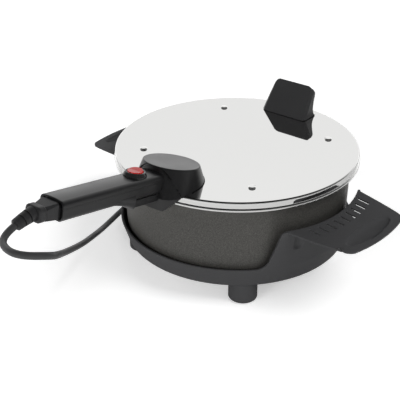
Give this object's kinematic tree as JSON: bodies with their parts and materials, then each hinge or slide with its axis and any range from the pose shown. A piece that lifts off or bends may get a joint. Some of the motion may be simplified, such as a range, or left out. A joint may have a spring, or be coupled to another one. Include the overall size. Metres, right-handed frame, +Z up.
{
  "type": "electric baking pan",
  "caption": "Round electric baking pan in a moulded stand, under a mirror-steel lid with a heating element, a long switch handle and a rear knob, with its mains lead.",
  "frame": {"origin": "on the pan's axis at the table top", "axes": "+Y towards the rear knob, the long handle points along -Y, +Z up"},
  "size_m": [0.414, 0.6176, 0.1934],
  "materials": {
    "stand_plastic": "moulded dark grey, fine grain",
    "foot_rubber": "matt",
    "pan_coating": "speckled non-stick coating, satin",
    "lid_steel": "mirror polish",
    "reflector_steel": "mill finish",
    "insulation": "ceramic fibre felt",
    "fastener_steel": "polished",
    "element_steel": "heat-tinted",
    "bracket_steel": "zinc plated",
    "handle_plastic": "black, satin gloss",
    "terminal_ceramic": "unglazed",
    "wire_sleeve": "woven glass sleeve",
    "switch_plastic": "matt black",
    "rocker_clear": "clear red, lit from inside when on",
    "contact_brass": "plain",
    "lead_moulding": "soft moulded dark grey",
    "lead_sheath": "smooth dark grey sheath",
    "tie_wire": "plastic-covered wire",
    "pin_nickel": "nickel plated"
  },
  "bodies": {
    "stand": {"stand_ring": "stand_plastic", "foot_pads": "foot_rubber"},
    "pan": {"pan_bowl": "pan_coating"},
    "lid": {"lid_cover": "lid_steel", "reflector": "reflector_steel", "insulation_pad": "insulation", "lid_studs": "fastener_steel", "stud_spacers": "fastener_steel", "stud_nuts": "fastener_steel", "heating_element": "element_steel", "element_clamps": "bracket_steel", "hub_cap": "handle_plastic", "hub_collar": "handle_plastic", "handle_upper": "handle_plastic", "handle_lower": "handle_plastic", "neck_block": "handle_plastic", "handle_screws": "fastener_steel", "handle_bracket": "bracket_steel", "bracket_screws": "fastener_steel", "bracket_nuts": "fastener_steel", "terminal_block": "terminal_ceramic", "thermal_cutout": "bracket_steel", "inner_wires": "wire_sleeve", "switch_bezel": "handle_plastic", "switch_body": "switch_plastic", "rocker_pin": "fastener_steel", "inlet_socket": "switch_plastic", "inlet_pins": "contact_brass", "rear_knob": "handle_plastic", "knob_screws": "fastener_steel"},
    "rocker": {"rocker": "rocker_clear"},
    "connector": {"connector_body": "lead_moulding", "connector_contacts": "contact_brass", "connector_relief": "lead_moulding", "mains_cord": "lead_sheath", "cord_coil": "lead_sheath", "coil_tie": "tie_wire", "cord_tail": "lead_sheath", "mains_plug": "lead_moulding", "plug_pins": "pin_nickel"}
  },
  "joints": [
    {"name": "pan_lift", "type": "slide", "parent": "stand", "child": "pan", "axis": [0, 0, 1], "range_m": [0, 0.1], "deforming": ["mains_cord"]},
    {"name": "lid_lift", "type": "slide", "parent": "pan", "child": "lid", "axis": [0, 0, 1], "range_m": [0, 0.08], "deforming": ["mains_cord"]},
    {"name": "rocker_tip", "type": "hinge", "parent": "lid", "child": "rocker", "pos_m": [0, -0.17747, 0.17093], "axis": [1, 0, 0], "range_deg": [0, 12]},
    {"name": "connector_pull", "type": "slide", "parent": "lid", "child": "connector", "axis": [0, -0.9792, 0.2028], "range_m": [0, 0.03]}
  ]
}
